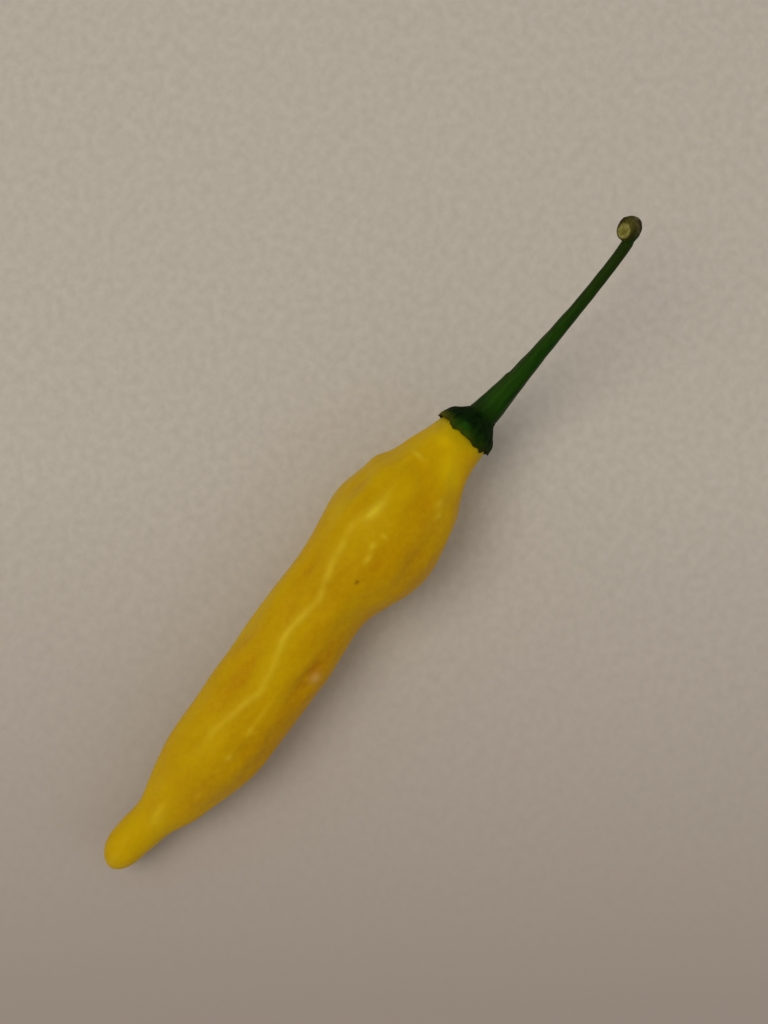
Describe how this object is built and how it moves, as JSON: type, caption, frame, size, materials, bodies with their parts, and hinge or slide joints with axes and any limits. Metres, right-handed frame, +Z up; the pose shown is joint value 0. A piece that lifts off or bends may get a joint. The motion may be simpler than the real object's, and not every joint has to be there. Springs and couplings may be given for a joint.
{
  "type": "chilli pepper",
  "caption": "Fresh yellow chilli pepper with a long wrinkled pod, a toothed green calyx and a tapering green stem, lying on its side.",
  "frame": {"origin": "on the surface the chilli lies on, at the middle of its overall length and width", "axes": "+X along the chilli from the pod's tip to the stem's broken end, +Y towards the pod's left flank, +Z up"},
  "size_m": [0.1108, 0.0168, 0.021],
  "materials": {
    "pod_skin": "waxy, softly glossy fruit skin",
    "calyx_green": "satin leaf-like green with dried brown edges",
    "stem_green": "satin ribbed green stalk, brown at the broken end"
  },
  "bodies": {
    "root": {"pod": "pod_skin", "calyx": "calyx_green", "stem": "stem_green"}
  },
  "joints": []
}
